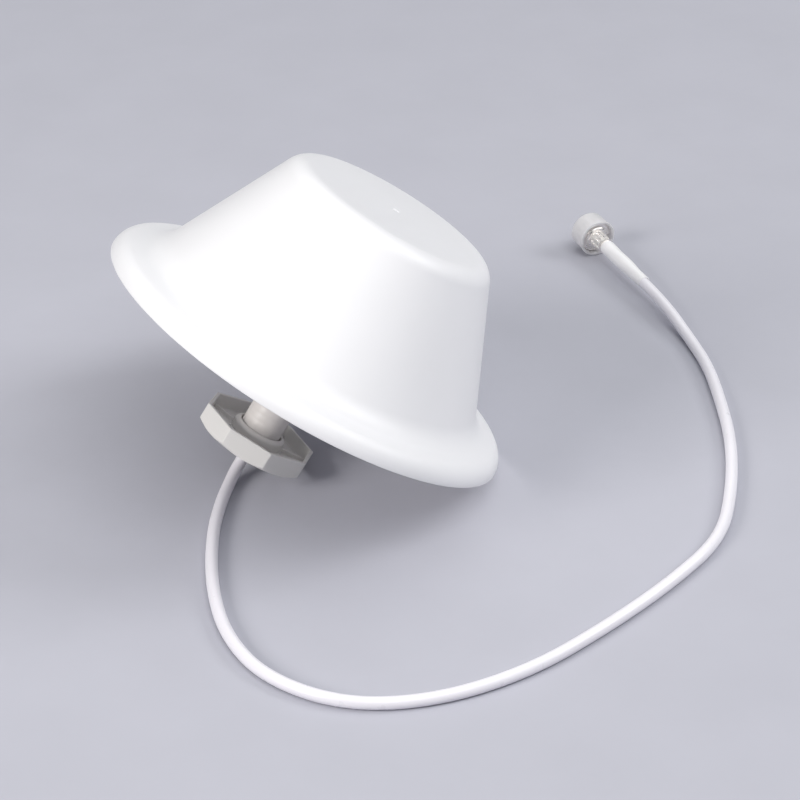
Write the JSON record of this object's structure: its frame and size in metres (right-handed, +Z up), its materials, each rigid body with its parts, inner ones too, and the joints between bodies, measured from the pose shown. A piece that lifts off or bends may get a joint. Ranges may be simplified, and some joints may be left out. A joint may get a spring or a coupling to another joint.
{
  "type": "indoor ceiling antenna",
  "caption": "Mushroom-shaped ceiling antenna with a rounded brim, a threaded pipe with a cup-shaped clamping nut, and a thin coaxial pigtail ending in a capped round connector.",
  "frame": {"origin": "on the table, under the middle of the antenna as it lies on its brim, without the cable and what is on it", "axes": "+Z up from the table, +X the way the dome leans, +Y across the brim's full width"},
  "size_m": [0.2777, 0.3075, 0.1362],
  "materials": {
    "dome_plastic": "satin moulded",
    "base_plastic": "satin moulded",
    "stud_plastic": "satin moulded, off-white",
    "nut_plastic": "fine matt, warm grey-white",
    "collar_plastic": "matt",
    "grommet_rubber": "matt",
    "cable_jacket": "soft sheen",
    "sleeve_plastic": "satin",
    "braid_metal": "woven",
    "dielectric": "smooth",
    "brass": "turned",
    "sheet_aluminium": "rolled sheet",
    "spun_aluminium": "spun",
    "rivet_aluminium": "satin",
    "nylon": "satin",
    "screw_steel": "zinc plated",
    "lock_nut_steel": "zinc plated",
    "ptfe": "waxy",
    "nickel": "nickel plated",
    "gold_contact": "gold plated",
    "clear_cap": "translucent soft plastic"
  },
  "bodies": {
    "antenna": {"radome": "dome_plastic", "base_plate": "base_plastic", "base_screws": "screw_steel", "mounting_stud": "stud_plastic", "stud_lock_nut": "lock_nut_steel", "cable_grommet": "grommet_rubber", "cable_in_stud": "cable_jacket", "cable_braid": "braid_metal", "cable_dielectric": "dielectric", "braid_clamp": "brass", "ground_plane": "sheet_aluminium", "ground_plane_spacers": "nylon", "ground_plane_screws": "screw_steel", "feed_insulator": "ptfe", "feed_pin": "brass", "radiator_cone": "spun_aluminium", "radiator_disc": "sheet_aluminium", "disc_rivets": "rivet_aluminium", "shorting_posts": "brass", "post_screws": "screw_steel", "pigtail_cable": "cable_jacket", "heat_shrink": "sleeve_plastic", "crimp_ferrule": "nickel", "connector_body": "nickel", "connector_insulator": "ptfe", "connector_contact": "gold_contact"},
    "clamp": {"clamp_collar": "collar_plastic"},
    "nut": {"mounting_nut": "nut_plastic"},
    "cap": {"dust_cap": "clear_cap"}
  },
  "joints": [
    {"name": "nut_travel", "type": "slide", "parent": "antenna", "child": "clamp", "axis": [0.5563, 0, 0.831], "range_m": [0, 0.033]},
    {"name": "nut_turn", "type": "hinge", "parent": "clamp", "child": "nut", "pos_m": [-0.02281, 0, 0.01789], "axis": [0.5563, 0, 0.831], "range_deg": [0, 3960]},
    {"name": "cap_pull", "type": "slide", "parent": "antenna", "child": "cap", "axis": [-0.068, 0.9971, 0.034], "range_m": [0, 0.04]}
  ],
  "couplings": [
    {"joint": "nut_travel", "follows": "nut_turn", "m_per_rad": 0.000477}
  ]
}
